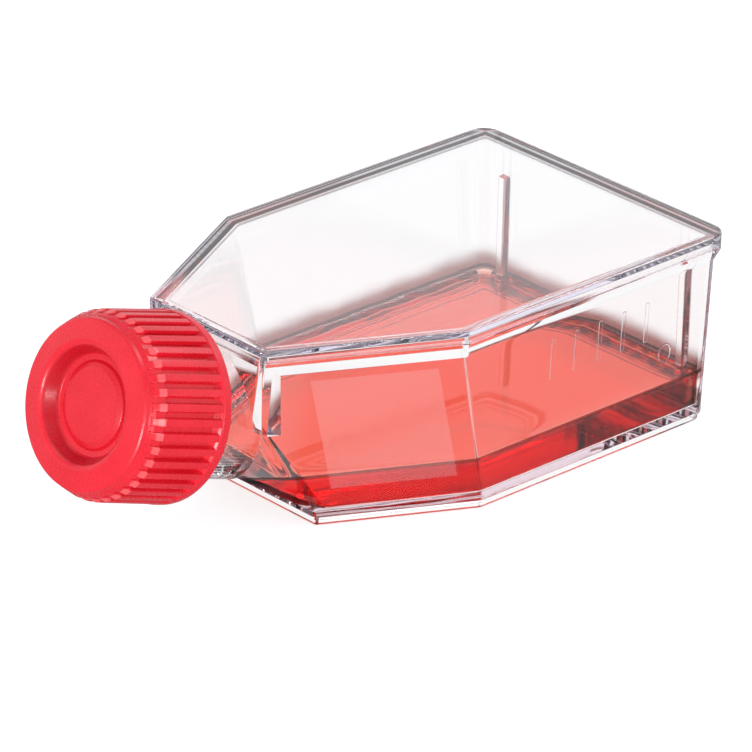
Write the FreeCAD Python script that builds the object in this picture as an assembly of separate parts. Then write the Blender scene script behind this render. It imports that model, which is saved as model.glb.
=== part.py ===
import FreeCAD, Part
import math
import os

# Cell culture flask of the 25 square centimetre class, lying on its foot rim.
# A clear moulded tray carries the canted, threaded neck. A flat lid is welded on
# the tray's flange. A ribbed screw cap with a loose round liner closes the neck,
# and a shallow layer of medium lies on the floor.
# Millimetres, +Z up. Lengths along X are first drawn from the lid's front edge,
# which is the neck's end; export() then moves them so that the origin lies under
# the middle of the lid, on the rest plane. The neck points to -X.

V = FreeCAD.Vector

# Lid outline, seen from above
body_length = 75.2
body_half_width = 24.6
front_beyond_neck = 1.7
shoulder_length = 25.5
lid_corner_radius = 3.0

# Heights above the rest plane
height = 29.0
lid_edge_thickness = 2.0
lid_window_thickness = 1.5
lid_edge_round = 0.3
flange_lip = 0.5
flange_bevel_height = 1.8
foot_height = 0.9
floor_thickness = 1.35

# Tray walls
wall = 1.3
rim_overhang = 0.8
side_draft = 1.0
shoulder_lean = 3.1
back_draft = 0.2
wall_corner_radius = 2.6
foot_step = 0.4
foot_width = 1.2
floor_front = 9.5
back_rib_width = 1.6
back_rib_depth = 0.9
back_rib_to_corner = 3.6
back_rib_top_gap = 2.0

# Front plate, which joins the tray to the neck
plate_setback = 0.3
plate_edge_margin = 0.1
plate_bevel_length = 1.8
throat_setback = 1.6
throat_nose_radius = 0.5

# Neck; distances along its axis count from the lid's front edge plane
neck_bore_radius = 8.25
neck_wall = 1.35
neck_below_lid = 0.8
neck_cant = 18.5
neck_mouth = 18.4
neck_lip_round = 0.3
neck_thread_to_mouth = 2.0
neck_thread_turns = 1.5
neck_thread_height = 1.0

# Thread shared by neck and cap
thread_pitch = 4.0
thread_root_width = 1.9
thread_crest_width = 0.9
thread_root_sink = 0.4
thread_crest_to_bore = 0.7
thread_crest_to_neck = 0.45

# Cap
cap_wall = 1.05
cap_crown = 0.95
cap_rear_to_thread = 1.8
cap_ring_step = 0.75
cap_ring_length = 1.6
cap_rib_count = 40
cap_rib_height_rear = 0.65
cap_rib_height_front = 0.45
cap_rib_share = 0.62
cap_rib_bevel = 1.5
cap_edge_length = 1.2
cap_edge_step = 0.85
cap_crest_inset = 3.0
cap_crest_rise = 0.7
cap_dish_inset = 1.8
cap_dish_depth = 2.4
cap_button_gap = 0.7
cap_button_rise = 0.4
cap_thread_turns = 1.5
cap_mouth_bevel = 0.4

# Liner inside the cap
liner_thickness = 0.9
liner_side_clearance = 0.3
liner_seat_clearance = 0.05

# Medium
medium_depth = 5.5

# Worked out from the sizes above
floor_top = foot_height + floor_thickness
lid_bottom = height - lid_edge_thickness
lip_bottom = lid_bottom - flange_lip
bevel_bottom = lip_bottom - flange_bevel_height
neck_radius = neck_bore_radius + neck_wall
front_half_width = neck_radius + front_beyond_neck
shoulder_angle = math.atan2(body_half_width - front_half_width, shoulder_length)
neck_axis_height = lid_bottom - neck_below_lid - neck_radius
throat_axis_height = neck_axis_height - throat_setback * math.tan(math.radians(neck_cant))
liner_bottom = neck_mouth + liner_seat_clearance
liner_top = liner_bottom + liner_thickness
neck_thread_start = neck_mouth - neck_thread_to_mouth - thread_pitch * neck_thread_turns
cap_bore_radius = neck_radius + neck_thread_height + thread_crest_to_bore
cap_thread_height = cap_bore_radius - neck_radius - thread_crest_to_neck
# the cap's ridge starts a quarter turn on from the neck's and stays half a pitch behind it
cap_thread_start = neck_thread_start + thread_pitch * (0.25 - 0.5)
cap_rear = cap_thread_start - cap_rear_to_thread
cap_face = liner_top + cap_crown + cap_dish_depth - cap_crest_rise
cap_radius = cap_bore_radius + cap_wall
cap_ring_radius = cap_radius + cap_ring_step
cap_face_radius = cap_radius - cap_edge_step
cap_crest_radius = cap_face_radius - cap_crest_inset
cap_dish_radius = cap_crest_radius - cap_dish_inset
cap_button_radius = cap_dish_radius - cap_button_gap
liner_radius = cap_bore_radius - liner_side_clearance
far = 4 * body_length


def closed_face(points):
    """Flat face inside a closed polygon."""
    return Part.Face(Part.makePolygon(points + [points[0]]))


def revolved(profile):
    """Solid of revolution about Z from (radius, height) points."""
    face = closed_face([V(radius, 0, level) for radius, level in profile])
    return face.revolve(V(0, 0, 0), V(0, 0, 1), 360)


def rounded_outline(corners, radii, level):
    """Closed level wire through plan corners, each rounded to its own radius."""
    points = [V(x, y, level) for x, y in corners]
    arcs = []
    for i, here in enumerate(points):
        back = (points[i - 1] - here).normalize()
        on = (points[(i + 1) % len(points)] - here).normalize()
        half = back.getAngle(on) / 2
        setback = radii[i] / math.tan(half)
        inward = (back + on).normalize()
        crown = here + inward * (radii[i] / math.sin(half) - radii[i])
        arcs.append((here + back * setback, crown, here + on * setback))
    edges = []
    for i, (start, crown, end) in enumerate(arcs):
        if radii[i] > 0:
            edges.append(Part.Arc(start, crown, end).toShape())
        edges.append(Part.makeLine(end, arcs[(i + 1) % len(arcs)][0]))
    return Part.Wire(edges)


def shoulder_y(x, inset):
    """Half width of the shoulder line at x, moved in by inset."""
    return front_half_width + x * math.tan(shoulder_angle) - inset / math.cos(shoulder_angle)


def plan_wire(level, front, insets, corner_radius):
    """Level outline of the body, moved in from the lid's edge by (side, shoulder, back) insets."""
    side, shoulder, back = insets
    half = body_half_width - side
    bend = (half - shoulder_y(0, shoulder)) / math.tan(shoulder_angle)
    rear = body_length - back
    nose = shoulder_y(front, shoulder)
    corners = [(front, -nose), (bend, -half), (rear, -half), (rear, half), (bend, half), (front, nose)]
    return rounded_outline(corners, [0, 0, corner_radius, corner_radius, 0, 0], level)


def wall_insets(level, extra):
    """Insets of the drafted walls at a level, with extra added to each."""
    share = (bevel_bottom - level) / (bevel_bottom - floor_top)
    drafts = (side_draft, shoulder_lean, back_draft)
    return tuple(rim_overhang + extra + draft * share for draft in drafts)


def level_loft(low, high):
    """Straight-sided solid between two level wires."""
    return Part.makeLoft([low, high], True, True)


def half_space(first, second, third):
    """Large block on the side of a plane that its normal (right-hand turn) points to."""
    normal = (second - first).cross(third - first).normalize()
    across = (second - first).normalize()
    up = normal.cross(across)
    corners = [first + across * s + up * t for s, t in ((-far, -far), (far, -far), (far, far), (-far, far))]
    return closed_face(corners).extrude(normal * far)


def upright_ellipse(centre, half_height, half_width):
    """Closed wire of an ellipse that stands across the X axis."""
    ellipse = Part.Ellipse(centre + V(0, 0, half_height), centre + V(0, half_width, 0), centre)
    return Part.Wire([ellipse.toShape()])


def chamber(extra):
    """Drafted body form, moved in from the tray's outside by extra.

    Its front narrows to the round throat: a ramp rises from the floor, and on each side a
    flat facet with a conical fillet runs from the floor's corner to the throat's edge.
    """
    front = plate_setback + extra
    ramp_drop = floor_front - throat_setback
    throat_low = throat_axis_height - neck_radius * 0.9
    ramp_angle = math.atan2(throat_low - floor_top, ramp_drop)
    toe = floor_front + extra / math.sin(ramp_angle)
    throat_x = throat_setback + extra / 2
    throat_y = neck_radius - extra
    throat_z = throat_y / math.cos(math.radians(neck_cant))
    centre_z = neck_axis_height - throat_x * math.tan(math.radians(neck_cant))
    apex_y = shoulder_y(toe, wall_insets(floor_top, extra)[1])
    ramp_z = floor_top + (toe - throat_x) * math.tan(ramp_angle)
    ramp_y = throat_y * math.sqrt(max(0.0, 1 - ((ramp_z - centre_z) / throat_z) ** 2))
    low = plan_wire(floor_top, front, wall_insets(floor_top, extra), wall_corner_radius - extra)
    high = plan_wire(lid_bottom, front, wall_insets(lid_bottom, extra), wall_corner_radius - extra)
    form = level_loft(low, high)
    throat = upright_ellipse(V(throat_x, 0, centre_z), throat_z, throat_y)
    cones = []
    for side in (-1, 1):
        apex = V(toe, side * apex_y, floor_top)
        ramp_corner = V(throat_x, side * ramp_y, ramp_z)
        side_corner = V(throat_x, side * throat_y, centre_z)
        order = (apex, ramp_corner, side_corner) if side > 0 else (apex, side_corner, ramp_corner)
        form = form.cut(half_space(*order))
        root = apex + V(throat_nose_radius, -2 * side * throat_nose_radius, 2 * throat_nose_radius)
        nose = upright_ellipse(root, throat_nose_radius, throat_nose_radius * throat_y / throat_z)
        cones.append(Part.makeLoft([nose, throat], True, True))
    form = form.fuse(cones)
    ramp = half_space(V(toe, 0, floor_top), V(throat_x, 0, ramp_z), V(toe, far, floor_top))
    return form.cut(ramp).removeSplitter()


def on_neck(shape):
    """Move a shape drawn about +Z onto the neck's axis, with Z pointing out of the mouth."""
    turned = shape.copy()
    tilt = FreeCAD.Rotation(V(0, 1, 0), neck_cant - 90)
    turned.Placement = FreeCAD.Placement(V(0, 0, neck_axis_height), tilt)
    return turned


def thread_ridge(surface_radius, ridge, start, turns):
    """Helical ridge on a round surface; ridge is its height, positive outwards."""
    sink = -math.copysign(thread_root_sink, ridge)
    root = surface_radius + sink
    crest = surface_radius + ridge
    slope = (thread_root_width - thread_crest_width) / 2 / abs(ridge)
    half_root = thread_root_width / 2 + slope * thread_root_sink
    half_crest = thread_crest_width / 2
    profile = Part.makePolygon([
        V(root, 0, -half_root), V(crest, 0, -half_crest), V(crest, 0, half_crest),
        V(root, 0, half_root), V(root, 0, -half_root),
    ])
    helix = Part.makeHelix(thread_pitch, thread_pitch * turns, surface_radius)
    thread = Part.Wire(helix.Edges).makePipeShell([profile], True, True)
    thread.translate(V(0, 0, start))
    return thread


def ahead_of(x, shape):
    """The part of a shape on the neck's side of an upright plane."""
    return shape.common(Part.makeBox(far, 2 * far, 2 * far, V(x - far, -far, -far)))


def neck():
    """Neck tube with its external thread, still without the bore."""
    mouth = neck_mouth - neck_lip_round
    tube = revolved([
        (0, -neck_radius), (neck_radius, -neck_radius), (neck_radius, mouth),
        (neck_radius - neck_lip_round, neck_mouth), (0, neck_mouth),
    ])
    thread = thread_ridge(neck_radius, neck_thread_height, neck_thread_start, neck_thread_turns)
    return ahead_of(throat_setback, on_neck(tube.fuse(thread)))


def neck_bore():
    """Straight round hole through the neck, back to the throat."""
    drill = Part.makeCylinder(neck_bore_radius, neck_mouth + 2 * neck_radius, V(0, 0, -neck_radius))
    return ahead_of(throat_setback + wall / 2, on_neck(drill))


def front_plate():
    """Flat plate above the neck's parting plane, as wide as the lid's front edge."""
    half = front_half_width - plate_edge_margin
    back = throat_setback
    inner = half - wall
    outline = [
        (plate_setback, -half), (back, -half), (back + plate_bevel_length, -inner),
        (back + plate_bevel_length, inner), (back, half), (plate_setback, half),
    ]
    block = closed_face([V(x, y, 0) for x, y in outline]).extrude(V(0, 0, lid_bottom))
    on_axis = V(0, 0, neck_axis_height)
    along = V(1, 0, -math.tan(math.radians(neck_cant)))
    return block.cut(half_space(on_axis, on_axis + along, on_axis + V(0, -1, 0)))


def flange():
    """Flange round the tray's top: a thin lip over a bevel that runs back to the wall."""
    lip_wire = plan_wire(lip_bottom, 0, (0, 0, 0), lid_corner_radius)
    top_wire = plan_wire(lid_bottom, 0, (0, 0, 0), lid_corner_radius)
    foot = wall_insets(bevel_bottom, 0)
    foot_wire = plan_wire(bevel_bottom, plate_setback, foot, wall_corner_radius)
    return level_loft(foot_wire, lip_wire).fuse(level_loft(lip_wire, top_wire))


def base():
    """Floor slab and the narrow foot rim that it stands on."""
    at_floor = wall_insets(floor_top, 0)
    slab = level_loft(
        plan_wire(foot_height, floor_front, at_floor, wall_corner_radius),
        plan_wire(floor_top, floor_front, at_floor, wall_corner_radius),
    )

    def foot_block(step):
        insets = tuple(value + step for value in at_floor)
        front = floor_front + step
        radius = max(0.5, wall_corner_radius - step)
        return level_loft(
            plan_wire(0, front, insets, radius),
            plan_wire(foot_height, front, insets, radius),
        )

    rim = foot_block(foot_step).cut(foot_block(foot_step + foot_width))
    return slab.fuse(rim)


def back_ribs():
    """Two upright ribs on the inside of the back wall."""
    side, _, back = wall_insets(floor_top, wall)
    face = body_length - back
    centre = body_half_width - side - back_rib_to_corner
    tall = bevel_bottom - back_rib_top_gap - floor_top
    ribs = []
    for y in (-centre, centre):
        corner = V(face - back_rib_depth, y - back_rib_width / 2, floor_top)
        ribs.append(Part.makeBox(back_rib_depth + wall / 2, back_rib_width, tall, corner))
    return ribs


def hollow():
    """Everything that is empty inside the tray and its neck."""
    return chamber(wall).fuse(neck_bore()).cut(Part.makeCompound(back_ribs()))


def flask_body():
    """Tray, front plate and neck, moulded in one piece of clear polystyrene."""
    outside = chamber(0).fuse([base(), flange(), front_plate(), neck()])
    return outside.cut(hollow()).removeSplitter()


def flask_lid():
    """Flat plate welded on the flange, with a thinner window inside its border."""
    plate = level_loft(
        plan_wire(lid_bottom, 0, (0, 0, 0), lid_corner_radius),
        plan_wire(height, 0, (0, 0, 0), lid_corner_radius),
    )
    top_edges = [edge for edge in plate.Edges if all(abs(v.Z - height) < 1e-6 for v in edge.Vertexes)]
    plate = plate.makeFillet(lid_edge_round, top_edges)
    border = rim_overhang + wall
    window_top = height - lid_window_thickness
    insets = (border, border, border)
    window = level_loft(
        plan_wire(lid_bottom, border, insets, 1.0),
        plan_wire(window_top, border, insets, 1.0),
    )
    return plate.cut(window)


def cap_grooves():
    """Wedge-shaped gaps between the cap's ribs, as one compound."""
    pitch = 360.0 / cap_rib_count
    half_gap = math.radians(pitch) * (1 - cap_rib_share) / 2
    outer = cap_ring_radius + 1
    start = cap_rear + cap_ring_length
    groove = closed_face([
        V(cap_radius * math.cos(half_gap), -cap_radius * math.sin(half_gap), start),
        V(outer * math.cos(half_gap), -outer * math.sin(half_gap), start),
        V(outer * math.cos(half_gap), outer * math.sin(half_gap), start),
        V(cap_radius * math.cos(half_gap), cap_radius * math.sin(half_gap), start),
    ]).extrude(V(0, 0, cap_face - start))
    grooves = []
    for i in range(cap_rib_count):
        copy = groove.copy()
        copy.rotate(V(0, 0, 0), V(0, 0, 1), pitch * i)
        grooves.append(copy)
    return Part.makeCompound(grooves)


def screw_cap():
    """Ribbed cap: dished face, rib ring, plain rear ring and an internal thread."""
    ring_end = cap_rear + cap_ring_length
    rib_end = cap_face - cap_edge_length
    dish = cap_face + cap_crest_rise - cap_dish_depth
    button = dish + cap_button_rise
    shell = revolved([
        (cap_bore_radius + cap_mouth_bevel, cap_rear), (cap_ring_radius, cap_rear),
        (cap_ring_radius, ring_end), (cap_radius + cap_rib_height_rear, ring_end),
        (cap_radius + cap_rib_height_front, rib_end - cap_rib_bevel),
        (cap_radius, rib_end), (cap_face_radius, cap_face),
        (cap_crest_radius, cap_face + cap_crest_rise), (cap_dish_radius, dish), (cap_button_radius, dish),
        (cap_button_radius, button), (0, button), (0, liner_top), (cap_bore_radius, liner_top),
        (cap_bore_radius, cap_rear + cap_mouth_bevel),
    ])
    shell = shell.cut(cap_grooves())
    thread = thread_ridge(cap_bore_radius, -cap_thread_height, cap_thread_start, cap_thread_turns)
    thread.rotate(V(0, 0, 0), V(0, 0, 1), 90)
    return on_neck(shell.fuse(thread))


def cap_liner():
    """Loose round sealing disc between the cap's crown and the neck's mouth."""
    return on_neck(Part.makeCylinder(liner_radius, liner_thickness, V(0, 0, liner_bottom)))


def culture_medium():
    """Shallow layer of medium that fills the tray's floor from wall to wall."""
    layer = Part.makeBox(far, far, medium_depth, V(-far / 2, -far / 2, floor_top))
    return chamber(wall).common(layer).cut(Part.makeCompound(back_ribs()))


def export(name, shape):
    """Move a finished piece to the row's origin and write it."""
    moved = shape.copy()
    moved.translate(V(-body_length / 2, 0, 0))
    solids = moved.Solids
    piece = solids[0] if len(solids) == 1 else Part.makeCompound(solids)
    piece.exportStep("parts/" + name + ".step")
    box = piece.optimalBoundingBox()
    print(name, len(solids), piece.isValid(), round(piece.Volume, 1),
          [round(value, 2) for value in (box.XMin, box.XMax, box.YMin, box.YMax, box.ZMin, box.ZMax)])


os.makedirs("parts", exist_ok=True)
export("flask_body", flask_body())
export("flask_lid", flask_lid())
export("screw_cap", screw_cap())
export("cap_liner", cap_liner())
export("culture_medium", culture_medium())
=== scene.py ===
import math
import bpy
import bmesh
from mathutils import Matrix, Vector


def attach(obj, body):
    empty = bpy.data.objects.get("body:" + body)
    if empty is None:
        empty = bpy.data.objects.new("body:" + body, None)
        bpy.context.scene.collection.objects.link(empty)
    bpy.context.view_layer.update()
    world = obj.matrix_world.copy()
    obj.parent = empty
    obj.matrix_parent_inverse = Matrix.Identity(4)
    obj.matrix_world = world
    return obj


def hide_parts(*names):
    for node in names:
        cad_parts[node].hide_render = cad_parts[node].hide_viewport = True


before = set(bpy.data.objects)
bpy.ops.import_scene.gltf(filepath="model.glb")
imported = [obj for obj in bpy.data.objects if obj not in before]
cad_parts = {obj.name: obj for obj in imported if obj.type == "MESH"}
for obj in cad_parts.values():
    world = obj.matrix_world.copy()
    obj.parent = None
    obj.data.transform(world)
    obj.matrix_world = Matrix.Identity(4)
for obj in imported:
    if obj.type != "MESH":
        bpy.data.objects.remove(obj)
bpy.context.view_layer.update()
scene = bpy.context.scene
MM = 0.001

# Camera, studio floor and light.
# The flask lies on a white table and is seen from above its neck and left-hand side.
camera_place = Vector((-0.5123, -0.5411, 0.3678))
camera_forward = Vector((0.61565, 0.65811, -0.43344)).normalized()
camera_roll = 0.0188
level_right = camera_forward.cross(Vector((0, 0, 1))).normalized()
level_up = level_right.cross(camera_forward)
axis_x = level_right * math.cos(camera_roll) + level_up * math.sin(camera_roll)
axis_y = level_up * math.cos(camera_roll) - level_right * math.sin(camera_roll)
camera_data = bpy.data.cameras.new("studio_camera")
camera_data.lens = 285.5
camera_data.sensor_width = 36.0
camera_data.clip_start = 0.01
camera = bpy.data.objects.new("studio_camera", camera_data)
camera_turn = Matrix((axis_x, axis_y, -camera_forward)).transposed().to_4x4()
camera.matrix_world = Matrix.Translation(camera_place) @ camera_turn
scene.collection.objects.link(camera)
scene.camera = camera
scene.view_settings.view_transform = "Standard"
# Light that runs along inside the clear walls turns many times before it leaves them.
scene.cycles.max_bounces = 44
scene.cycles.transmission_bounces = 44
scene.cycles.glossy_bounces = 30


def new_material(name):
    """Material with an empty node tree; gives the material, its tree and its output node."""
    material = bpy.data.materials.new(name)
    material.use_nodes = True
    tree = material.node_tree
    tree.nodes.clear()
    return material, tree, tree.nodes.new("ShaderNodeOutputMaterial")


def added(tree, kind, inputs=None, **settings):
    """New node, each input of which is set to a value or linked to another node's socket."""
    node = tree.nodes.new(kind)
    for name, value in settings.items():
        setattr(node, name, value)
    for name, value in (inputs or {}).items():
        if isinstance(value, bpy.types.NodeSocket):
            tree.links.new(value, node.inputs[name])
        else:
            node.inputs[name].default_value = value
    return node


def maths(tree, operation, *values):
    """Result of one operation on numbers and node sockets."""
    return added(tree, "ShaderNodeMath", dict(enumerate(values)), operation=operation).outputs[0]


floor_half = 1.6
floor_level = -0.00005
floor_mesh = bpy.data.meshes.new("studio_floor")
floor_mesh.from_pydata([(x * floor_half, y * floor_half, floor_level)
                        for x, y in ((-1, -1), (1, -1), (1, 1), (-1, 1))], [], [(0, 1, 2, 3)])
floor = bpy.data.objects.new("studio_floor", floor_mesh)
scene.collection.objects.link(floor)
# A glow that only the eye sees makes the table plain white and leaves the flask's shadow on it;
# seen through the clear walls it is plain white as well.
floor_white, tree, output = new_material("studio_floor_white")
path = added(tree, "ShaderNodeLightPath")
diffuse = added(tree, "ShaderNodeBsdfDiffuse", {"Color": (0.62, 0.62, 0.62, 1)})
seen_glow = maths(tree, "MULTIPLY", path.outputs["Is Camera Ray"], 0.72)
glow = added(tree, "ShaderNodeEmission", {"Color": (1, 1, 1, 1), "Strength": seen_glow})
seen = added(tree, "ShaderNodeAddShader", {0: diffuse.outputs[0], 1: glow.outputs[0]})
through = added(tree, "ShaderNodeEmission", {"Color": (1, 1, 1, 1), "Strength": 1.0})
choice = added(tree, "ShaderNodeMixShader", {0: path.outputs["Is Transmission Ray"],
                                             1: seen.outputs[0], 2: through.outputs[0]})
tree.links.new(choice.outputs[0], output.inputs["Surface"])
floor_mesh.materials.append(floor_white)

# White surroundings with a dark band part of the way up, which draws the dark lines in clear edges.
world = bpy.data.worlds.new("studio_world")
scene.world = world
world.use_nodes = True
tree = world.node_tree
tree.nodes.clear()
direction = added(tree, "ShaderNodeTexCoord")
parts = added(tree, "ShaderNodeSeparateXYZ", {0: direction.outputs["Generated"]})
ramp = added(tree, "ShaderNodeValToRGB", {"Fac": parts.outputs["Z"]})
stops = ramp.color_ramp.elements
stops[0].color = (1, 1, 1, 1)
stops[1].color = (0.55, 0.54, 0.56, 1)
for rise, shade in ((0.48, (0.98, 0.97, 1.0)), (0.55, (0.85, 0.82, 0.95)), (0.60, (0.22, 0.20, 0.25)),
                    (0.66, (0.20, 0.18, 0.23)), (0.72, (0.75, 0.72, 0.85)), (0.82, (0.90, 0.89, 0.94))):
    stops.new(rise).color = shade + (1,)
sky = added(tree, "ShaderNodeBackground", {"Color": ramp.outputs["Color"], "Strength": 1.0})
output = added(tree, "ShaderNodeOutputWorld", {"Surface": sky.outputs[0]})

# Large soft lamps: place, aim and size in metres, power in watts.
for name, place, target, size, power in (
        ("softbox_side", (-0.12, -0.80, 0.08), (-0.04, 0, 0.02), (0.20, 0.16), 1.7),
        ("softbox_back", (0.55, -0.12, 0.56), (-0.02, 0, 0.02), (0.22, 0.22), 1.3),
        ("softbox_above", (-0.15, 0.25, 0.85), (0, 0, 0.02), (0.5, 0.4), 0.5),
        ("softbox_front", (-0.76, -0.26, 0.05), (-0.05, 0, 0.02), (0.14, 0.10), 3.0)):
    lamp_data = bpy.data.lights.new(name, "AREA")
    lamp_data.shape = "RECTANGLE"
    lamp_data.size, lamp_data.size_y = size
    lamp_data.energy = power
    lamp = bpy.data.objects.new(name, lamp_data)
    aim = (Vector(target) - Vector(place)).to_track_quat("-Z", "Y")
    lamp.matrix_world = Matrix.Translation(place) @ aim.to_matrix().to_4x4()
    scene.collection.objects.link(lamp)

# Flask body: a clear tray on a narrow foot rim, with a flange round its top and a canted,
# threaded neck. Injection moulded in one shot of crystal polystyrene; lengths along X run
# from the lid's front edge, in millimetres, until the finished mesh moves to the row.
body_length = 75.2
body_half_width = 24.6
front_half_width = 11.3
shoulder_length = 25.5
height = 29.0
lid_bottom = 27.0
lip_bottom = 26.5
bevel_bottom = 24.7
foot_height = 0.9
floor_top = 2.25
wall = 1.3
rim_overhang = 0.8
side_draft = 1.0
shoulder_lean = 3.1
back_draft = 0.2
foot_step = 0.4
foot_width = 1.2
floor_front = 9.5
plate_setback = 0.3
throat_setback = 1.6
neck_axis_height = 16.6
neck_cant = math.radians(18.5)
neck_radius = 9.6
neck_bore_radius = 8.25
neck_mouth = 18.4
ramp_reach = 0.9
thread_pitch = 4.0
thread_turns = 1.5
end_rib_half_width = 0.8
end_rib_depth = 0.9
end_rib_inset = 3.6
stroke_count = 5
stroke_gap = 4.5
first_stroke = (42.2, 19.2)
ring_mark_place = (64.3, 13.2)
wall_rise = bevel_bottom - floor_top
shoulder_angle = math.atan2(body_half_width - front_half_width, shoulder_length)
to_row = Matrix.Scale(MM, 4) @ Matrix.Translation((-body_length / 2, 0, 0))
neck_place = (Matrix.Translation((0, 0, neck_axis_height))
              @ Matrix.Rotation(neck_cant - math.pi / 2, 4, "Y"))


def piece_from(name, mesh, material, body, slot, *nodes):
    """Object for a finished mesh: it rides on a body and stands for CAD nodes."""
    piece = bpy.data.objects.new(name, mesh)
    scene.collection.objects.link(piece)
    mesh.materials.clear()
    mesh.materials.append(material)
    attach(piece, body)
    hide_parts(*nodes)
    return piece


def shoulder_y(x, inset):
    """Half width of the shoulder line at x, moved in by inset."""
    return front_half_width + x * math.tan(shoulder_angle) - inset / math.cos(shoulder_angle)


def rounded(corners, radii, counts, level):
    """Level ring through plan corners, each rounded to its own radius with its own step count."""
    points = []
    for i, here in enumerate(corners):
        back = (corners[i - 1] - here).normalized()
        on = (corners[(i + 1) % len(corners)] - here).normalized()
        half = math.acos(max(-1.0, min(1.0, back.dot(on)))) / 2
        reach = radii[i] / math.tan(half)
        start = here + back * reach
        centre = here + (back + on).normalized() * (radii[i] / math.sin(half))
        first = start - centre
        sweep = math.pi - 2 * half
        sign = 1 if back.x * on.y - back.y * on.x < 0 else -1
        for k in range(counts[i] + 1):
            a = sign * sweep * k / counts[i]
            spoke = Vector((first.x * math.cos(a) - first.y * math.sin(a),
                            first.x * math.sin(a) + first.y * math.cos(a)))
            points.append(Vector((centre.x + spoke.x, centre.y + spoke.y, level)))
    return points


def plan_ring(level, front, insets, radii):
    """Ring of the tray's plan, moved in from the lid's edge by (side, shoulder, back) insets."""
    side, shoulder, back = insets
    half = body_half_width - side
    bend = (half - shoulder_y(0, shoulder)) / math.tan(shoulder_angle)
    rear = body_length - back
    nose = shoulder_y(front, shoulder)
    corners = [Vector(c) for c in ((front, -nose), (bend, -half), (rear, -half),
                                   (rear, half), (bend, half), (front, nose))]
    nose_r, bend_r, rear_r = radii
    return rounded(corners, (nose_r, bend_r, rear_r, rear_r, bend_r, nose_r), (4, 6, 14, 14, 6, 4), level)


def wall_insets(level, extra):
    """Insets of the drafted walls at a level, with extra added to each."""
    share = (bevel_bottom - level) / wall_rise
    return tuple(rim_overhang + extra + draft * share for draft in (side_draft, shoulder_lean, back_draft))


def as_solid(name, mesh):
    """Working object, which is used up by the boolean steps."""
    solid = bpy.data.objects.new(name, mesh)
    scene.collection.objects.link(solid)
    return solid


def loft(name, rings):
    """Closed solid through a stack of rings that run from the lowest to the highest."""
    count = len(rings[0])
    points = [p for ring in rings for p in ring]
    faces = [tuple(reversed(range(count)))]
    for i in range(len(rings) - 1):
        for j in range(count):
            k = (j + 1) % count
            faces.append((i * count + j, i * count + k, (i + 1) * count + k, (i + 1) * count + j))
    faces.append(tuple(range((len(rings) - 1) * count, len(rings) * count)))
    mesh = bpy.data.meshes.new(name)
    mesh.from_pydata(points, [], faces)
    return as_solid(name, mesh)


def applied(solid):
    """Plain mesh of a working solid with its modifiers carried out; the solid is used up."""
    bpy.context.view_layer.update()
    graph = bpy.context.evaluated_depsgraph_get()
    mesh = bpy.data.meshes.new_from_object(solid.evaluated_get(graph))
    bpy.data.objects.remove(solid)
    return mesh


def joined(base, others, operation="UNION"):
    """Boolean of a working solid with others; the others are used up."""
    for other in others:
        step = base.modifiers.new("join", "BOOLEAN")
        step.operation = operation
        step.solver = "MANIFOLD"
        step.object = other
    name = base.name
    mesh = applied(base)
    for used in others:
        bpy.data.objects.remove(used)
    return as_solid(name, mesh)


def recalculated(solid):
    """Turn a working solid's faces outwards."""
    work = bmesh.new()
    work.from_mesh(solid.data)
    bmesh.ops.recalc_face_normals(work, faces=work.faces)
    work.to_mesh(solid.data)
    work.free()
    return solid


def cut_by_plane(solid, point, normal):
    """Remove what lies on the side of a plane that its normal points to, and close the cut."""
    work = bmesh.new()
    work.from_mesh(solid.data)
    cut = bmesh.ops.bisect_plane(work, geom=work.verts[:] + work.edges[:] + work.faces[:], dist=1e-5,
                                 plane_co=point, plane_no=normal, clear_outer=True)
    edges = [e for e in cut["geom_cut"] if isinstance(e, bmesh.types.BMEdge) and e.is_boundary]
    bmesh.ops.contextual_create(work, geom=edges)
    bmesh.ops.recalc_face_normals(work, faces=work.faces)
    work.to_mesh(solid.data)
    work.free()
    return solid


def rounded_profile(low, radius, steps=4):
    """(height, extra inset) pairs of a quarter round that starts flat at a low level."""
    return [(low + radius * (1 - math.cos(math.pi / 2 * k / steps)),
             radius * (1 - math.sin(math.pi / 2 * k / steps))) for k in range(steps + 1)]


def upright_ellipse(centre, half_height, half_width, count=96):
    """Points of an ellipse that stands across the X axis."""
    return [centre + Vector((0, half_width * math.cos(2 * math.pi * k / count),
                             half_height * math.sin(2 * math.pi * k / count))) for k in range(count)]


def front_facet(extra):
    """Ramp angle, throat centre and half height, and the far facet's three corners, moved in by extra."""
    throat_axis_height = neck_axis_height - throat_setback * math.tan(neck_cant)
    throat_low = throat_axis_height - neck_radius * ramp_reach
    ramp_angle = math.atan2(throat_low - floor_top, floor_front - throat_setback)
    toe = floor_front + extra / math.sin(ramp_angle)
    throat_x = throat_setback + extra / 2
    throat_y = neck_radius - extra
    throat_z = throat_y / math.cos(neck_cant)
    centre_z = neck_axis_height - throat_x * math.tan(neck_cant)
    ramp_z = floor_top + (toe - throat_x) * math.tan(ramp_angle)
    ramp_y = throat_y * math.sqrt(max(0.0, 1 - ((ramp_z - centre_z) / throat_z) ** 2))
    apex = Vector((toe, shoulder_y(toe, wall_insets(floor_top, extra)[1]), floor_top))
    corners = (apex, Vector((throat_x, ramp_y, ramp_z)), Vector((throat_x, throat_y, centre_z)))
    return ramp_angle, Vector((throat_x, 0, centre_z)), throat_z, corners


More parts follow.
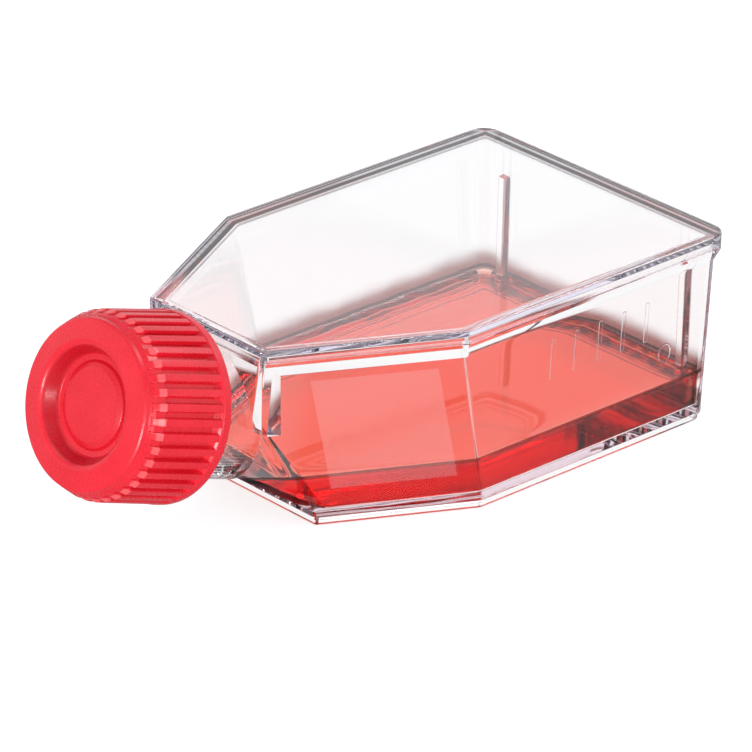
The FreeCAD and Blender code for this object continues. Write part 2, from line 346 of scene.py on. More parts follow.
def chamber(extra, low, top, floor_round, radii):
    """Drafted body form moved in by extra, with the ramp, facets and cones that lead to the throat."""
    front = plate_setback + extra
    ramp_angle, throat_centre, throat_z, facet = front_facet(extra)
    throat_y = neck_radius - extra
    rings = []
    for level, more in rounded_profile(low, floor_round) if floor_round else [(low, 0)]:
        radii_here = [max(0.05, r - more) for r in radii]
        rings.append(plan_ring(level, front + more, wall_insets(level, extra + more), radii_here))
    rings.append(plan_ring(top, front, wall_insets(top, extra), radii))
    form = loft("form", rings)
    throat = upright_ellipse(throat_centre, throat_z, throat_y)
    nose_r = 0.5
    cones = []
    for side in (-1, 1):
        apex, ramp_corner, side_corner = (Vector((c.x, side * c.y, c.z)) for c in facet)
        normal = (ramp_corner - apex).cross(side_corner - apex).normalized() * side
        form = cut_by_plane(form, apex, normal)
        root = apex + Vector((nose_r, -2 * side * nose_r, 2 * nose_r))
        nose = upright_ellipse(root, nose_r, nose_r * throat_y / throat_z)
        cones.append(recalculated(loft("cone", [throat, nose])))
    form = joined(form, cones)
    ramp_normal = Vector((-math.sin(ramp_angle), 0, -math.cos(ramp_angle)))
    return cut_by_plane(form, Vector((facet[0].x, 0, floor_top)), ramp_normal)


def turned(name, profile, count=128):
    """Solid of revolution about the neck's axis from (radius, distance) points that start and end on it."""
    rings = [[Vector((r * math.cos(2 * math.pi * k / count), r * math.sin(2 * math.pi * k / count), t))
              for k in range(count)] for r, t in profile]
    solid = recalculated(loft(name, rings))
    solid.data.transform(neck_place)
    return solid


def thread_ridge(name, surface, rise, start, phase=0.0, steps=40):
    """Helical ridge on a round surface, tapered at both ends; rise is positive outwards."""
    sink = -math.copysign(0.4, rise)
    slope = 0.5 / abs(rise)
    count = int(steps * thread_turns)
    rings = []
    for i in range(count + 1):
        angle = phase + 2 * math.pi * thread_turns * i / count
        ends = min(i, count - i) / (steps * 0.06)
        lift = max(0.02, min(1.0, ends) ** 0.5) * rise
        level = start + thread_pitch * thread_turns * i / count
        half_crest = 0.45 * max(0.3, min(1.0, ends))
        half_root = 0.95 + slope * 0.4
        section = [(surface + sink, -half_root), (surface + lift, -half_crest),
                   (surface + lift, half_crest), (surface + sink, half_root)]
        rings.append([Vector((r * math.cos(angle), r * math.sin(angle), level + t)) for r, t in section])
    solid = recalculated(loft(name, rings))
    solid.data.transform(neck_place)
    return solid


def finished(solid, name, sharp_degrees=32):
    """Clean mesh in the row's metres, smooth over its rounds and flat on its flats."""
    work = bmesh.new()
    work.from_mesh(solid.data)
    bmesh.ops.remove_doubles(work, verts=work.verts, dist=0.001)
    bmesh.ops.dissolve_degenerate(work, edges=work.edges, dist=0.0005)
    for face in work.faces:
        face.smooth = True
    for edge in work.edges:
        angle = edge.calc_face_angle(0.0) if len(edge.link_faces) == 2 else math.pi
        edge.smooth = angle < math.radians(sharp_degrees)
    work.to_mesh(solid.data)
    work.free()
    weights = solid.modifiers.new("flats", "WEIGHTED_NORMAL")
    weights.keep_sharp = True
    weights.weight = 50
    mesh = applied(solid)
    mesh.transform(to_row)
    mesh.name = name
    return mesh


def stepped(tree, value, low, high, at_low=0.0, at_high=1.0, kind="LINEAR"):
    """Goes from one number to another while a value goes from low to high."""
    return added(tree, "ShaderNodeMapRange", {
        "Value": value, "From Min": low, "From Max": high, "To Min": at_low, "To Max": at_high},
        interpolation_type=kind).outputs[0]


def product(tree, *values):
    """Product of node sockets."""
    result = values[0]
    for value in values[1:]:
        result = maths(tree, "MULTIPLY", result, value)
    return result


def between(tree, value, low, high, soft):
    """1 where a value in metres lies between two levels in millimetres, and 0 past its soft edges."""
    rise = stepped(tree, value, (low - soft) * MM, (low + soft) * MM, kind="SMOOTHSTEP")
    fall = stepped(tree, value, (high - soft) * MM, (high + soft) * MM, 1.0, 0.0, "SMOOTHSTEP")
    return product(tree, rise, fall)


def along(tree, here, direction):
    """Distance of a surface point along a direction."""
    return added(tree, "ShaderNodeVectorMath", {0: here, 1: direction},
                 operation="DOT_PRODUCT").outputs["Value"]


def blended(tree, share, first, second):
    """Colour that goes from the first to the second as a share goes from 0 to 1."""
    return added(tree, "ShaderNodeMix", {"Factor": share, "A": first, "B": second},
                 data_type="RGBA").outputs["Result"]


def clear_plastic(name):
    """Crystal polystyrene: glossy, a little wavy from the mould, with fine handling scuffs."""
    material, tree, output = new_material(name)
    here = added(tree, "ShaderNodeTexCoord").outputs["Object"]
    flow = added(tree, "ShaderNodeTexNoise", {"Vector": here, "Scale": 110.0, "Detail": 1.0})
    wave = added(tree, "ShaderNodeBump", {
        "Strength": 0.5, "Distance": 0.00003, "Height": flow.outputs["Fac"]})
    scuff = added(tree, "ShaderNodeTexNoise", {
        "Vector": here, "Scale": 420.0, "Detail": 4.0, "Distortion": 1.5})
    haze = stepped(tree, scuff.outputs["Fac"], 0.62, 0.85, 0.0, 0.06)
    clear = added(tree, "ShaderNodeBsdfPrincipled", {
        "Base Color": (1, 1, 1, 1), "Transmission Weight": 1.0, "IOR": 1.59,
        "Roughness": haze, "Normal": wave.outputs[0]})
    tint = added(tree, "ShaderNodeVolumeAbsorption", {"Color": (0.80, 0.69, 0.93, 1), "Density": 10.0})
    tree.links.new(clear.outputs[0], output.inputs["Surface"])
    tree.links.new(tint.outputs[0], output.inputs["Volume"])
    return material, tree, here, clear, haze


flask_clear, tree, here, clear, haze = clear_plastic("crystal_polystyrene_body")
rearward = along(tree, here, (1, 0, 0))
farward = along(tree, here, (0, 1, 0))
upward = along(tree, here, (0, 0, 1))

# The writing panel on the near shoulder is etched fine in the mould, so it is frosted.
panel_way = (math.cos(shoulder_angle), -math.sin(shoulder_angle), 0.21)
panel_normal = (-math.sin(shoulder_angle), -math.cos(shoulder_angle), -shoulder_lean / wall_rise)
frost = product(
    tree, between(tree, along(tree, here, panel_way), -16.1, 1.6, 0.05),
    between(tree, upward, 5.8, 23.4, 0.05),
    between(tree, along(tree, here, panel_normal), 22.6, 40.0, 0.02))
frost_grain = added(tree, "ShaderNodeTexNoise", {"Vector": here, "Scale": 1500.0})
frost_level = stepped(tree, frost_grain.outputs["Fac"], 0, 1, 0.10, 0.22)
roughness = maths(tree, "ADD", product(tree, frost, frost_level), haze)

# A dark band of painted shade fades upwards from the liquid's edge on the far side and the end
# wall; painted shade also darkens the corner under the end wall and the flanks of its two ribs.
still_level = 7.05
end_rib_centre = body_half_width - wall_insets(floor_top, wall)[0] - end_rib_inset
patches = added(tree, "ShaderNodeTexNoise", {"Vector": here, "Scale": 130.0, "Detail": 2.0})
streaks = added(tree, "ShaderNodeTexWave", {
    "Vector": here, "Scale": 90.0, "Distortion": 7.0, "Detail": 2.0}, bands_direction="Y")
streaky = stepped(tree, streaks.outputs["Fac"], 0, 0.7, 0.72, 1.0)
over_edge = maths(tree, "SUBTRACT", upward, (still_level + 0.35) * MM)
shade_height = maths(tree, "MULTIPLY_ADD", patches.outputs["Fac"], -1.4 * MM, over_edge)
shade_edge = stepped(tree, shade_height, 0.0, 3.6 * MM, 1.0, 0.0, "SMOOTHSTEP")
far_side_painted_shade = product(tree, between(tree, farward, 2, 60, 2),
                        between(tree, upward, still_level - 0.35, 60, 0.3))
end_wall_painted_shade = product(tree, between(tree, rearward, 33, 60, 1),
                        between(tree, upward, still_level - 0.35, 60, 0.3))
corner_height = maths(tree, "MULTIPLY_ADD", patches.outputs["Fac"], -1.6 * MM, upward)
corner_painted_shade = product(tree, between(tree, rearward, 34, 60, 0.4),
                   between(tree, corner_height, 1.4, 3.6, 0.3), streaky)
high_painted_shade = maths(tree, "MAXIMUM", far_side_painted_shade, end_wall_painted_shade)
wall_painted_shade = maths(tree, "MAXIMUM", product(tree, shade_edge, shade_edge, high_painted_shade), corner_painted_shade)
across = maths(tree, "ABSOLUTE", farward)
off_rib = maths(tree, "ABSOLUTE", maths(tree, "SUBTRACT", across, end_rib_centre * MM))
rib_flank_painted_shade = product(tree, between(tree, off_rib, 0.5, 1.0, 0.06),
                     between(tree, rearward, 34.2, 35.45, 0.1))
painted_shade = maths(tree, "MAXIMUM", wall_painted_shade, rib_flank_painted_shade)
# Colours of the painted shade: dark red-brown above the liquid's edge, near black in the corner.
painted_shade_colour = blended(tree, corner_painted_shade, (0.32, 0.12, 0.11, 1), (0.07, 0.022, 0.014, 1))
shaded_base_colour = blended(tree, painted_shade, (1, 1, 1, 1), painted_shade_colour)

# The raised strokes on the near wall carry pale painted highlights along their edges, where they are also
# less clear.
wall_lean = math.atan2(side_draft, wall_rise)
wall_normal = (0, -math.cos(wall_lean), -math.sin(wall_lean))
wall_out = ((body_half_width - rim_overhang - side_draft) * math.cos(wall_lean)
            - floor_top * math.sin(wall_lean))
stroke_edge_highlight = product(
    tree, between(tree, along(tree, here, wall_normal), wall_out + 0.012, wall_out + 0.054, 0.006),
    between(tree, upward, 10.0, 23.0, 0.1), between(tree, rearward, 0.0, 30.0, 0.1))
stroke_highlighted_colour = blended(tree, stroke_edge_highlight, shaded_base_colour, (0.60, 0.57, 0.60, 1))

# On the far half of the flange, under the lid's border, two dark lines of painted shade follow the
# lid's outline, with a pale band between them; all of it is less clear.
shoulder_out = (body_length / 2 * math.sin(shoulder_angle)
                + front_half_width * math.cos(shoulder_angle))
shoulder_normal = (-math.sin(shoulder_angle), math.cos(shoulder_angle), 0)
side_gap = maths(tree, "SUBTRACT", body_half_width * MM, farward)
end_gap = maths(tree, "SUBTRACT", body_length / 2 * MM, rearward)
shoulder_gap = maths(tree, "SUBTRACT", shoulder_out * MM, along(tree, here, shoulder_normal))
edge_gap = maths(tree, "MINIMUM", maths(tree, "MINIMUM", side_gap, end_gap), shoulder_gap)
rim_band = product(tree, between(tree, upward, lid_bottom - 0.015, lid_bottom + 0.2, 0.006),
               between(tree, along(tree, here, (0.5, 0.87, 0)), -3, 80, 3))
rim_shade_lines = maths(tree, "MAXIMUM", between(tree, edge_gap, -1, 0.42, 0.1),
                   between(tree, edge_gap, 0.95, 1.85, 0.12))
rim_band_colour = blended(tree, rim_shade_lines, (0.95, 0.95, 0.96, 1), (0.075, 0.09, 0.082, 1))

# Faces that meet air at the front and round the foot shine fully; those that the medium or the
# lid touches shine less.
dry_faces = maths(tree, "MAXIMUM", between(tree, rearward, -80, -31, 1.5),
                  between(tree, upward, -1, 1.55, 0.2))
shine = stepped(tree, dry_faces, 0, 1, 0.4, 1.0)
opaque_rim_band = maths(tree, "MULTIPLY_ADD", rim_band, -0.7, 1.0)
clouded = maths(tree, "MULTIPLY_ADD", frost, -0.07, opaque_rim_band)
clearness = maths(tree, "MULTIPLY_ADD", stroke_edge_highlight, -0.38, clouded)
for value, name in ((blended(tree, rim_band, stroke_highlighted_colour, rim_band_colour), "Base Color"), (roughness, "Roughness"),
                    (shine, "Specular Tint"), (clearness, "Transmission Weight")):
    tree.links.new(value, clear.inputs[name])


def copied(name, solid, material, sizes, lay_out):
    """Realised copies of a solid on the points, and at the turns, that lay_out adds to a node tree."""
    tree = bpy.data.node_groups.new(name, "GeometryNodeTree")
    face = tree.interface
    face.new_socket("Shape", in_out="INPUT", socket_type="NodeSocketGeometry")
    values = {}
    for label, kind, value in sizes + (("Finish", "NodeSocketMaterial", material),):
        socket = face.new_socket(label, in_out="INPUT", socket_type=kind)
        values[socket.identifier] = value
    face.new_socket("Copies", in_out="OUTPUT", socket_type="NodeSocketGeometry")
    given = added(tree, "NodeGroupInput").outputs
    placed = added(tree, "GeometryNodeInstanceOnPoints",
                   {"Instance": given["Shape"], **lay_out(tree, given)})
    real = added(tree, "GeometryNodeRealizeInstances", {0: placed.outputs[0]})
    finish = added(tree, "GeometryNodeSetMaterial", {
        "Geometry": real.outputs[0], "Material": given["Finish"]})
    added(tree, "NodeGroupOutput", {0: finish.outputs[0]})
    step = solid.modifiers.new("copies", "NODES")
    step.node_group = tree
    for identifier, value in values.items():
        step[identifier] = value
    return as_solid(name, applied(solid))


def spaced(tree, given):
    """Points in a row along X, one gap apart."""
    step = added(tree, "ShaderNodeCombineXYZ", {"X": given["Gap"]})
    line = added(tree, "GeometryNodeMeshLine", {"Count": given["Count"], "Offset": step.outputs[0]})
    return {"Points": line.outputs[0]}


def near_wall_place(x, level):
    """Place and turn of a mark on the outside of the near side wall, X along it and Z outwards."""
    y = -(body_half_width - rim_overhang - side_draft * (bevel_bottom - level) / wall_rise)
    return Matrix.Translation((x, y, level)) @ Matrix.Rotation(math.pi / 2 + wall_lean, 4, "X")


def wall_marks():
    """Raised graduation strokes and a small moulded ring on the near side wall."""
    bar_half_width, bar_half_height, bar_round = 0.4, 3.1, 0.22
    bar_rings = []
    for level, more in [(-0.15, 0.0), (0.0, 0.0), (0.05, 0.10), (0.06, 0.14)]:
        w, h = bar_half_width - more, bar_half_height - more
        bar_rings.append(rounded([Vector(c) for c in ((-w, -h), (w, -h), (w, h), (-w, h))],
                                 (bar_round - more,) * 4, (3,) * 4, level))
    strokes = copied("graduation_strokes", loft("stroke", bar_rings), flask_clear,
                     (("Count", "NodeSocketInt", stroke_count),
                      ("Gap", "NodeSocketFloat", stroke_gap)), spaced)
    strokes.data.transform(near_wall_place(*first_stroke))
    count = 48
    narrowing = 0.8
    section = [(1.22, -0.15), (1.30, 0.08), (1.42, 0.11), (1.54, 0.08), (1.62, -0.15)]
    side_count = len(section)
    points = []
    faces = []
    for k in range(count):
        a = 2 * math.pi * k / count
        points += [(r * math.cos(a) * narrowing, r * math.sin(a), z) for r, z in section]
        for j in range(side_count):
            m = (j + 1) % side_count
            n = (k + 1) % count
            faces.append((k * side_count + j, n * side_count + j, n * side_count + m, k * side_count + m))
    mesh = bpy.data.meshes.new("ring_mark")
    mesh.from_pydata(points, [], faces)
    ring = recalculated(as_solid("ring_mark", mesh))
    ring.data.transform(near_wall_place(*ring_mark_place))
    return [strokes, ring]


body = chamber(extra=0.0, low=2.0, top=26.0, floor_round=0.0, radii=(0.35, 1.2, 2.6))
at_floor = wall_insets(floor_top, 0)
slab_rings = []
for level, more in [(0.0, foot_step + 0.15), (0.04, foot_step + 0.06), (0.15, foot_step),
                    (foot_height - 0.1, foot_step), (foot_height - 0.04, foot_step - 0.02),
                    (foot_height, foot_step - 0.1), (foot_height + 0.02, 0.12),
                    (foot_height + 0.1, 0.03), (foot_height + 0.22, 0.0), (2.6, 0.0)]:
    insets = tuple(value + more for value in at_floor)
    slab_rings.append(plan_ring(level, floor_front + more, insets, (0.6, 1.2, 2.6 - more)))
slab = loft("slab", slab_rings)
flange_rings = []
for level, more in [(bevel_bottom - 0.4, 1.1), (bevel_bottom, 0.8), (lip_bottom - 0.12, 0.06),
                    (lip_bottom - 0.06, 0.02), (lip_bottom + 0.02, 0.0), (lid_bottom - 0.07, 0.0),
                    (lid_bottom, 0.06)]:
    front = min(plate_setback, more) if level <= bevel_bottom else more
    flange_rings.append(plan_ring(level, front, (more, more, more), (0.35, 1.0, 3.0 - more * 0.5)))
flange = loft("flange", flange_rings)
plate_rings = []
for level, flank in ((neck_axis_height - 1.6, ((0.85, 0.12), (4.04, 2.14), (5.04, 2.78))),
                     (lid_bottom - 0.4, ((1.60, 0.12), (3.26, 0.85), (4.40, 1.38)))):
    corners = [Vector((x, -shoulder_y(x, inset))) for x, inset in ((plate_setback, 0.12),) + flank]
    corners += [Vector((c.x, -c.y)) for c in reversed(corners)]
    plate_rings.append(rounded(corners, (0.2,) + (0.1,) * 6 + (0.2,), (4, 3, 2, 2, 2, 2, 3, 4), level))
parting_normal = Vector((-math.sin(neck_cant), 0, -math.cos(neck_cant)))
plate = cut_by_plane(loft("plate", plate_rings), Vector((0, 0, neck_axis_height)), parting_normal)
mouth_round = 0.3
tube = turned("tube", [
    (neck_radius, -neck_radius), (neck_radius, neck_mouth - mouth_round),
    (neck_radius - 0.09, neck_mouth - 0.09), (neck_radius - mouth_round, neck_mouth)])
tube = joined(tube, [thread_ridge("ridge", neck_radius, 1.0, 10.4)])
tube = cut_by_plane(tube, Vector((throat_setback + 0.01, 0, 0)), Vector((1, 0, 0)))
body = joined(body, [slab, flange, plate, tube] + wall_marks())


def end_rib_solids(grow):
    """Two upright half-round ribs on the inside of the end wall."""
    inner_end = body_length - wall_insets(floor_top, wall)[2]
    rib_top = bevel_bottom - 2.0
    solids = []
    for side in (-1, 1):
        rings = []
        for level, more in [(1.0, 0), (rib_top - 0.4, 0), (rib_top - 0.1, 0.12), (rib_top, 0.4)]:
            w = end_rib_half_width - more * 0.5 - grow
            front, rear = inner_end - (end_rib_depth - more - grow), inner_end + end_rib_half_width
            plan = [Vector((x, side * end_rib_centre + y))
                    for x, y in ((front, -w), (rear, -w), (rear, w), (front, w))]
            rings.append(rounded(plan, (0.4, 0.1, 0.1, 0.4), (5, 1, 1, 5), level))
        solids.append(loft("rib", rings))
    return solids


cavity = chamber(wall, floor_top, top=28.0, floor_round=0.6, radii=(0.35, 0.9, 1.3))
cavity = joined(cavity, end_rib_solids(0.0), "DIFFERENCE")
bore = turned("bore", [
    (neck_bore_radius, -neck_radius), (neck_bore_radius, neck_mouth - 0.25),
    (neck_bore_radius + 0.08, neck_mouth - 0.08), (neck_bore_radius + 0.3, neck_mouth + 0.1),
    (neck_bore_radius + 0.3, neck_mouth + 2)])
bore = cut_by_plane(bore, Vector((throat_setback + wall / 2, 0, 0)), Vector((1, 0, 0)))
recess_rings = []
for level, more in [(-1.0, 0.0), (0.05, 0.0), (0.75, 0.06), (0.86, 0.12), (foot_height, 0.24)]:
    inset = foot_step + foot_width + more
    insets = tuple(value + inset for value in at_floor)
    recess_rings.append(plan_ring(level, floor_front + inset, insets, (0.5, 0.6, 1.0 - more)))
body = joined(body, [cavity, bore, loft("recess", recess_rings)], "DIFFERENCE")
piece_from("flask_body_clear", finished(body, "flask_body_clear"), flask_clear,
           "flask", "clear_polystyrene", "flask_body")

# Lid: a flat clear plate with a thinner window inside its border.
# Moulded in the same polystyrene and welded to the flange all round.
lid_clear = clear_plastic("crystal_polystyrene_lid")[0]
weld_sink = 0.03
lid_round = 0.3
window_top = 27.5
border = rim_overhang + wall
lid_stations = [(lid_bottom - weld_sink, 0.1), (lid_bottom, 0.07), (lid_bottom + 0.06, 0.0)]
lid_stations += [(height - lid_round + lid_round * math.sin(math.pi / 2 * k / 5),
                  lid_round * (1 - math.cos(math.pi / 2 * k / 5))) for k in range(6)]
lid = loft("lid", [plan_ring(level, more, (more, more, more), (0.35, 1.0, 3.0 - more))
                   for level, more in lid_stations])
window = loft("window", [
    plan_ring(level, border + more, (border + more,) * 3, (0.3, 0.8, 1.0 - more))
    for level, more in ((lid_bottom - 1.0, 0.0), (lid_bottom - weld_sink, 0.0), (window_top - 0.15, 0.0),
                        (window_top - 0.05, 0.04), (window_top, 0.15))])
lid = joined(lid, [window], "DIFFERENCE")
piece_from("flask_lid_clear", finished(lid, "flask_lid_clear"), lid_clear,
           "flask", "clear_polystyrene", "flask_lid")

# Culture medium: a shallow layer of buffered nutrient liquid, coloured by phenol red.
# It wets the walls, so its edge climbs them in a small meniscus; its mesh runs a hair into
# the plastic, which keeps light passing straight from wall to liquid.
wetting = 0.03
contact_level = 7.85
meniscus_reach = 1.3
medium_pink, tree, output = new_material("pink_culture_medium")
here = added(tree, "ShaderNodeTexCoord").outputs["Object"]
upward = along(tree, here, (0, 0, 1))
# Where its edge climbs the walls, the liquid is painted dark: painted shade on the meniscus.
meniscus_painted_shade = stepped(tree, upward, (still_level + 0.25) * MM, (still_level + 0.45) * MM, kind="SMOOTHSTEP")
open_surface = between(tree, upward, still_level - 0.15, 60, 0.05)
liquid = added(tree, "ShaderNodeBsdfPrincipled", {
    "Base Color": blended(tree, meniscus_painted_shade, (1, 1, 1, 1), (0.22, 0.10, 0.09, 1)),
    "Transmission Weight": 1.0, "IOR": 1.335, "Roughness": 0.0,
    "Specular Tint": stepped(tree, open_surface, 0, 1, 0.15, 1.0)})
dye = added(tree, "ShaderNodeVolumeAbsorption", {"Color": (0.994, 0.283, 0.033, 1), "Density": 520.0})
tree.links.new(liquid.outputs[0], output.inputs["Surface"])
tree.links.new(dye.outputs[0], output.inputs["Volume"])


def section_corners(level, extra):
    """Plan corners of the chamber's inside at a level: ramp, facets, bends and back."""
    ramp_angle, _, _, (apex, ramp_corner, side_corner) = front_facet(extra)
    normal = (ramp_corner - apex).cross(side_corner - apex)
    side, shoulder, back = wall_insets(level, extra)
    ramp_x = apex.x - (level - floor_top) / math.tan(ramp_angle)
    drop = normal.z * (level - apex.z)
    ramp_side = apex.y - (normal.x * (ramp_x - apex.x) + drop) / normal.y
    slope = math.tan(shoulder_angle)
    at_front = shoulder_y(0, shoulder)
    facet_x = (normal.y * (apex.y - at_front) + normal.x * apex.x - drop) / (normal.x + normal.y * slope)
    half = body_half_width - side
    bend = (half - at_front) / slope
    rear = body_length - back
    right = [(ramp_x, ramp_side), (facet_x, at_front + slope * facet_x), (bend, half), (rear, half)]
    return [Vector((x, -y)) for x, y in right] + [Vector(c) for c in reversed(right)]


def moved_in(corners, inset):
    """Plan corners of a convex outline with every side moved in by an inset."""
    moved = []
    for i, here in enumerate(corners):
        back = (here - corners[i - 1]).normalized()
        on = (corners[(i + 1) % len(corners)] - here).normalized()
        inward = Vector((-back.y, back.x)) + Vector((-on.y, on.x))
        inward *= inset / (1 + back.dot(on))
        moved.append(here + inward)
    return moved


def meniscus(inset):
    """Level of the liquid's surface at a distance from the wall."""
    return (still_level + 0.4 * math.exp(-inset / meniscus_reach)
            + 0.45 * math.exp(-max(0.0, inset) / 0.22))


medium = chamber(wall - wetting, floor_top - wetting, top=12.0, floor_round=0.6, radii=(0.35, 0.9, 1.3))
medium = joined(medium, end_rib_solids(wetting), "DIFFERENCE")
plan = section_corners(contact_level, wall)
layer_levels = [(-1.5, 0.0), (-1.5, contact_level + 0.3)]
layer_levels += [(inset, meniscus(inset)) for inset in (
    -0.2, 0.0, 0.05, 0.1, 0.17, 0.26, 0.38, 0.55, 0.8, 1.2, 1.7, 2.4, 3.2, 4.2, 5.4)]
layer_rings = []
for inset, level in layer_levels:
    radii = [max(0.4, r - max(0.0, inset) * 0.2) + max(0.0, -inset)
             for r in (0.4, 0.5, 0.9, 1.3, 1.3, 0.9, 0.5, 0.4)]
    layer_rings.append(rounded(moved_in(plan, inset), radii, (3, 3, 6, 10, 10, 6, 3, 3), level))
medium = joined(medium, [loft("layer", layer_rings)], "INTERSECT")
piece_from("culture_medium_pink", finished(medium, "culture_medium_pink", 40), medium_pink,
           "flask", "pink_medium", "culture_medium")

# Screw cap: a ribbed cap with a dished face, a smooth rear ring and an internal thread.
# Injection moulded in red polyethylene with a fine satin surface; it turns on the neck's thread.
liner_top = 19.35
cap_rear = 7.6
cap_ring_radius = 13.1
cap_bore_radius = 11.3
rib_root_radius = 12.0
rib_half_width = 0.58
rib_count = 40


def filleted(points, steps=4):
    """(radius, distance) profile of (radius, distance, round) points with its corners rounded off."""
    out = []
    for i, (r, t, fillet) in enumerate(points):
        here = Vector((r, t))
        if fillet <= 0 or i in (0, len(points) - 1):
            out.append((r, t))
            continue
        back = Vector(points[i - 1][:2]) - here
        on = Vector(points[i + 1][:2]) - here
        room = min(back.length, on.length) * 0.48
        back.normalize()
        on.normalize()
        half = math.acos(max(-1.0, min(1.0, back.dot(on)))) / 2
        reach = min(fillet / math.tan(half), room)
        radius = reach * math.tan(half)
        centre = here + (back + on).normalized() * (radius / math.sin(half))
        start = here + back * reach - centre
        end = here + on * reach - centre
        sweep = start.angle_signed(end)
        for k in range(steps + 1):
            a = -sweep * k / steps
            out.append((centre.x + start.x * math.cos(a) - start.y * math.sin(a),
                        centre.y + start.x * math.sin(a) + start.y * math.cos(a)))
    return out


def round_the_neck(tree, given):
    """Points on the neck's axis, each turned on by an equal share of a full turn."""
    points = added(tree, "GeometryNodePoints", {"Count": given["Count"]})
    index = added(tree, "GeometryNodeInputIndex").outputs[0]
    angle = maths(tree, "MULTIPLY", maths(tree, "DIVIDE", index, given["Count"]), 2 * math.pi)
    spin = added(tree, "ShaderNodeCombineXYZ", {"Z": angle})
    return {"Points": points.outputs[0], "Rotation": spin.outputs[0]}


# The ribs' sloping ends are painted pale, a painted highlight, and the wall of the dish is painted darker
# than the face, a painted shade.
cap_red, tree, output = new_material("red_cap_polyethylene")
here = added(tree, "ShaderNodeTexCoord").outputs["Object"]
mottle = added(tree, "ShaderNodeTexNoise", {"Vector": here, "Scale": 160.0, "Detail": 3.0})
shade = added(tree, "ShaderNodeValToRGB", {"Fac": mottle.outputs["Fac"]})
for stop, place, colour in zip(shade.color_ramp.elements, (0.35, 0.65),
                               ((0.70, 0.010, 0.024, 1), (0.77, 0.014, 0.032, 1))):
    stop.position = place
    stop.color = colour
neck_line = to_row @ neck_place
neck_way = (neck_line.to_3x3() @ Vector((0, 0, 1))).normalized()
neck_start = neck_way.dot(neck_line.translation) / MM
station = along(tree, here, neck_way)
from_root = added(tree, "ShaderNodeVectorMath", {0: here, 1: neck_line.translation}, operation="SUBTRACT")
off_axis = added(tree, "ShaderNodeVectorMath", {0: from_root.outputs[0], 1: neck_way},
                 operation="CROSS_PRODUCT")
radius = added(tree, "ShaderNodeVectorMath", {0: off_axis.outputs[0]}, operation="LENGTH").outputs["Value"]
# Pale painted highlight on the ribs' sloping ends.
rib_end_highlight = product(tree, between(tree, station, neck_start + 19.25, neck_start + 20.9, 0.05),
                   between(tree, radius, 12.4, 14, 0.06))
# Painted shade on the wall of the dish.
dish_wall_painted_shade = product(tree, between(tree, radius, 6.75, 8.0, 0.2),
                    between(tree, station, neck_start + 20.4, neck_start + 24, 0.2))
rib_highlighted_colour = blended(tree, rib_end_highlight, shade.outputs["Color"], (0.86, 0.10, 0.11, 1))
grain = added(tree, "ShaderNodeTexNoise", {"Vector": here, "Scale": 3200.0, "Detail": 2.0})
texture = added(tree, "ShaderNodeBump", {
    "Strength": 0.09, "Distance": 0.00006, "Height": grain.outputs["Fac"]})
gloss = added(tree, "ShaderNodeBsdfPrincipled", {
    "Base Color": blended(tree, dish_wall_painted_shade, rib_highlighted_colour, (0.53, 0.008, 0.019, 1)),
    "Roughness": stepped(tree, grain.outputs["Fac"], 0, 1, 0.2, 0.36),
    "IOR": 1.51, "Specular IOR Level": 0.4, "Normal": texture.outputs[0]})
tree.links.new(gloss.outputs[0], output.inputs["Surface"])

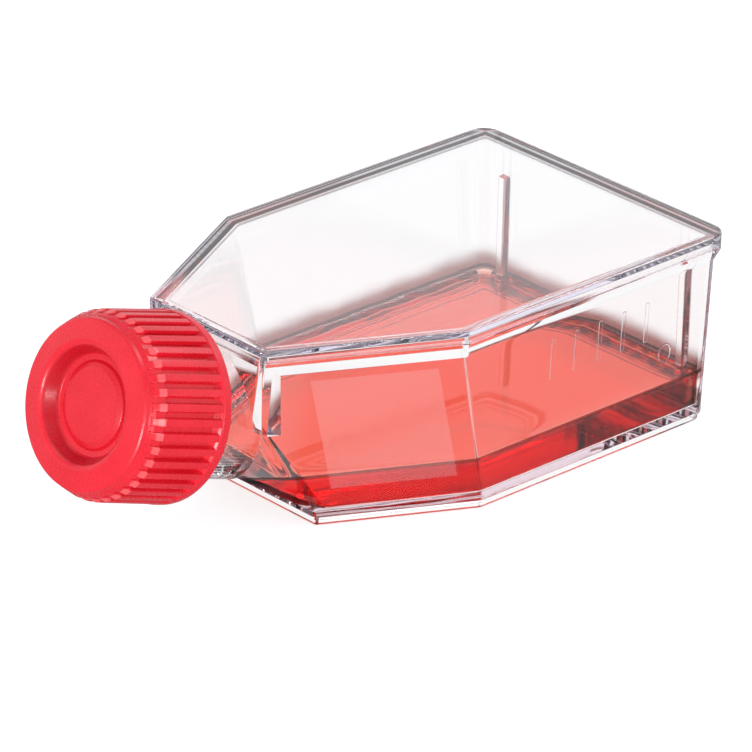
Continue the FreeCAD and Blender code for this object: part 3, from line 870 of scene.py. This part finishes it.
shell = turned("screw_cap_red", filleted([
    (cap_bore_radius + 0.2, cap_rear, 0), (cap_ring_radius, cap_rear, 0.3), (cap_ring_radius, 9.05, 0.35),
    (12.6, 9.35, 0.3), (12.17, 10.0, 0.5), (12.15, 18.85, 0.2), (12.33, 19.1, 0.1), (12.15, 20.7, 0.3),
    (11.75, 21.4, 0.3), (11.62, 21.95, 0.12), (11.35, 22.1, 0.2), (8.15, 22.75, 1.1), (7.1, 20.6, 0.5),
    (6.8, 20.2, 0.3), (6.05, 20.15, 0.15), (5.75, 20.6, 0.3), (5.0, 20.92, 0.6), (4.4, 20.95, 0)], 5), 240)
rib_rings = []
for t, rise in [(8.8, 0.97), (9.4, 0.99), (11.0, 0.98), (14.0, 0.93), (17.0, 0.88), (19.0, 0.84),
                (19.3, 0.81), (19.5, 0.74), (20.75, 0.16), (20.95, 0.08), (21.2, -0.1)]:
    flare = max(0.0, min(1.0, rise / 0.6))
    section = [(-0.35, 0.22), (0.0, 0.2 * flare), (0.1 * flare, 0.08 * flare), (0.26 * flare, 0.02 * flare),
               (rise - 0.14 * flare, -0.04), (rise - 0.04 * flare, -0.09), (rise, -0.18)]
    section = ([(lift, -rib_half_width - widening) for lift, widening in section]
               + [(lift, rib_half_width + widening) for lift, widening in reversed(section)])
    rib_rings.append([Vector((rib_root_radius + lift, side, t)) for lift, side in section])
ribs = copied("cap_ribs", recalculated(loft("cap_rib", rib_rings)), cap_red,
              (("Count", "NodeSocketInt", rib_count),), round_the_neck)
ribs.data.transform(neck_place)
hole = turned("cap_bore", filleted([
    (cap_bore_radius + 0.5, cap_rear - 1.0, 0), (cap_bore_radius + 0.45, cap_rear, 0.2),
    (cap_bore_radius, cap_rear + 0.5, 0.2), (cap_bore_radius, liner_top, 0.1),
    (cap_bore_radius - 1, liner_top, 0)]), 192)
shell = joined(joined(shell, [ribs]), [hole], "DIFFERENCE")
shell = joined(shell, [thread_ridge("cap_ridge", cap_bore_radius, -1.25, 9.4, phase=math.pi / 2)])
piece_from("screw_cap_red", finished(shell, "screw_cap_red", 38), cap_red, "cap", "red_cap", "screw_cap")

# Liner: a loose round sealing disc, punched from white closed-cell polyethylene foam.
# It lies in the cap's crown and seats on the neck's mouth.
liner_radius = 11.0
liner_bottom = 18.45
liner_white, tree, output = new_material("white_liner_foam")
here = added(tree, "ShaderNodeTexCoord").outputs["Object"]
cells = added(tree, "ShaderNodeTexVoronoi", {"Vector": here, "Scale": 2600.0}).outputs["Distance"]
shade = added(tree, "ShaderNodeValToRGB", {"Fac": cells})
shade.color_ramp.elements[0].color = (0.80, 0.79, 0.76, 1)
shade.color_ramp.elements[1].color = (0.88, 0.88, 0.86, 1)
dimple = added(tree, "ShaderNodeBump", {"Strength": 0.3, "Distance": 0.00008, "Height": cells})
foam = added(tree, "ShaderNodeBsdfPrincipled", {
    "Base Color": shade.outputs["Color"], "Roughness": 0.55, "Normal": dimple.outputs[0]})
tree.links.new(foam.outputs[0], output.inputs["Surface"])
liner = turned("cap_liner_white", filleted([
    (liner_radius - 1.0, liner_bottom, 0), (liner_radius, liner_bottom, 0.12),
    (liner_radius, liner_top, 0.12), (liner_radius - 1.0, liner_top, 0)]))
piece_from("cap_liner_white", finished(liner, "cap_liner_white", 38), liner_white,
           "liner", "white_liner", "cap_liner")
